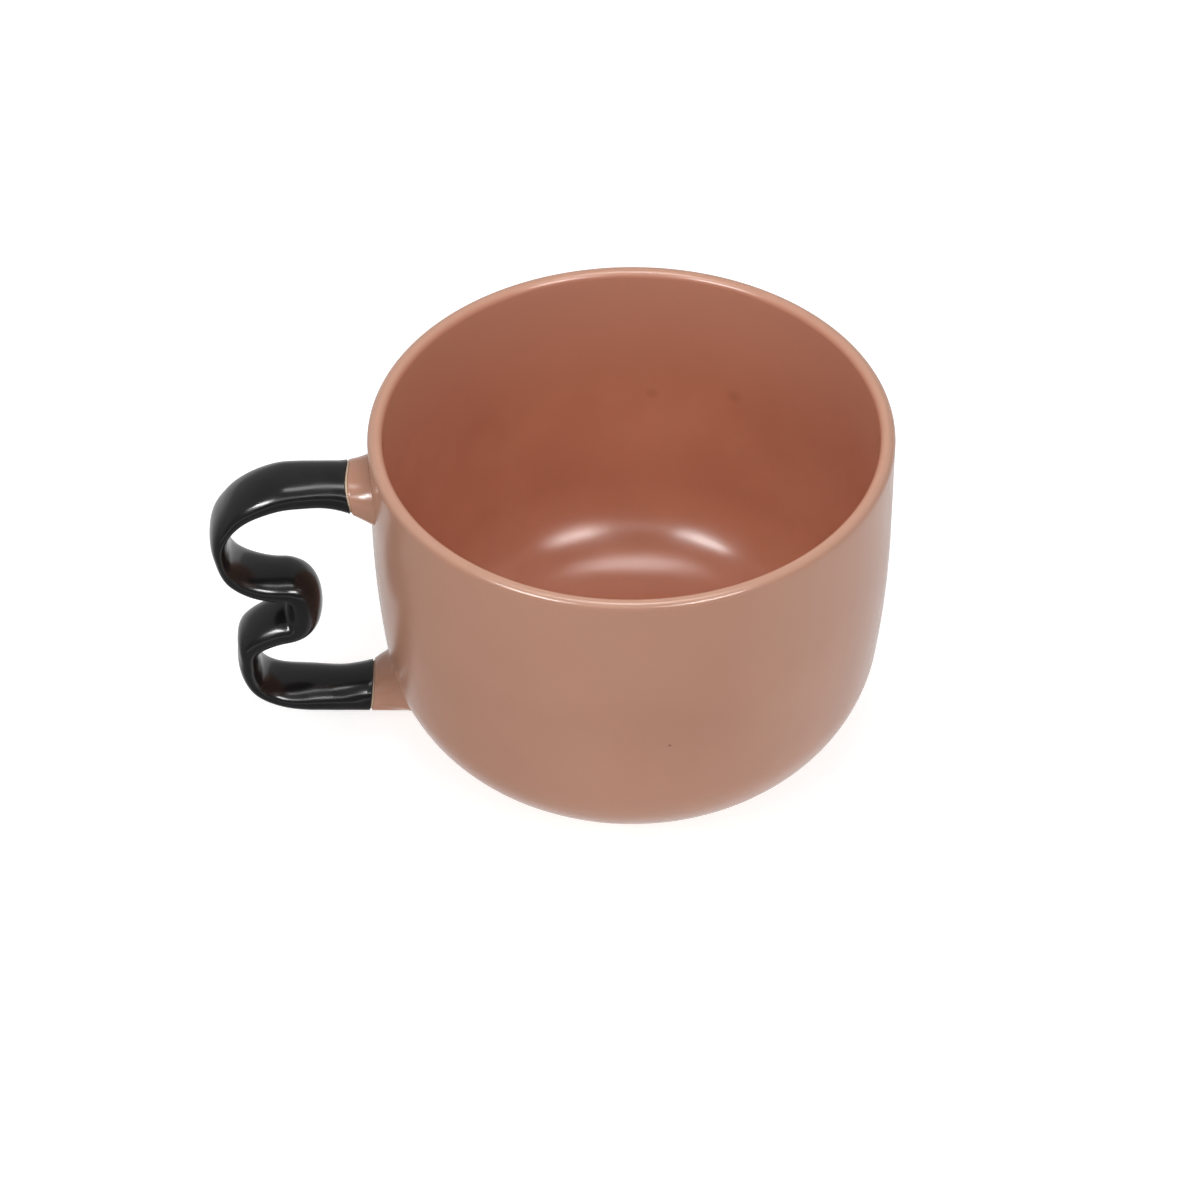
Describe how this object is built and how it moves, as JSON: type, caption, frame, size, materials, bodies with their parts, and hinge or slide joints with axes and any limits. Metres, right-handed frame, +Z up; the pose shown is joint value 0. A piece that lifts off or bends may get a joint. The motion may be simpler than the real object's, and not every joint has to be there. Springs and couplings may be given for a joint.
{
  "type": "mug",
  "caption": "Wide round ceramic mug with a rounded heel, a low foot ring and a wavy strap handle bent into an upper and a lower finger loop.",
  "frame": {"origin": "centre of the foot ring, on the face that the mug stands on", "axes": "+Z up along the cup's axis, -X towards the handle, which lies in the XZ plane"},
  "size_m": [0.1516, 0.1152, 0.0846],
  "materials": {
    "clay": "fired, unglazed, fine matt",
    "slip": "fired, smoothed by finger",
    "liner_glaze": "satin terracotta glaze",
    "salmon_glaze": "satin salmon glaze",
    "black_glaze": "glossy black glaze"
  },
  "bodies": {
    "root": {"cup_clay": "clay", "handle_clay": "clay", "upper_slip_joint": "slip", "lower_slip_joint": "slip", "liner_glaze": "liner_glaze", "outer_glaze": "salmon_glaze", "base_glaze": "salmon_glaze", "handle_glaze": "black_glaze"}
  },
  "joints": []
}
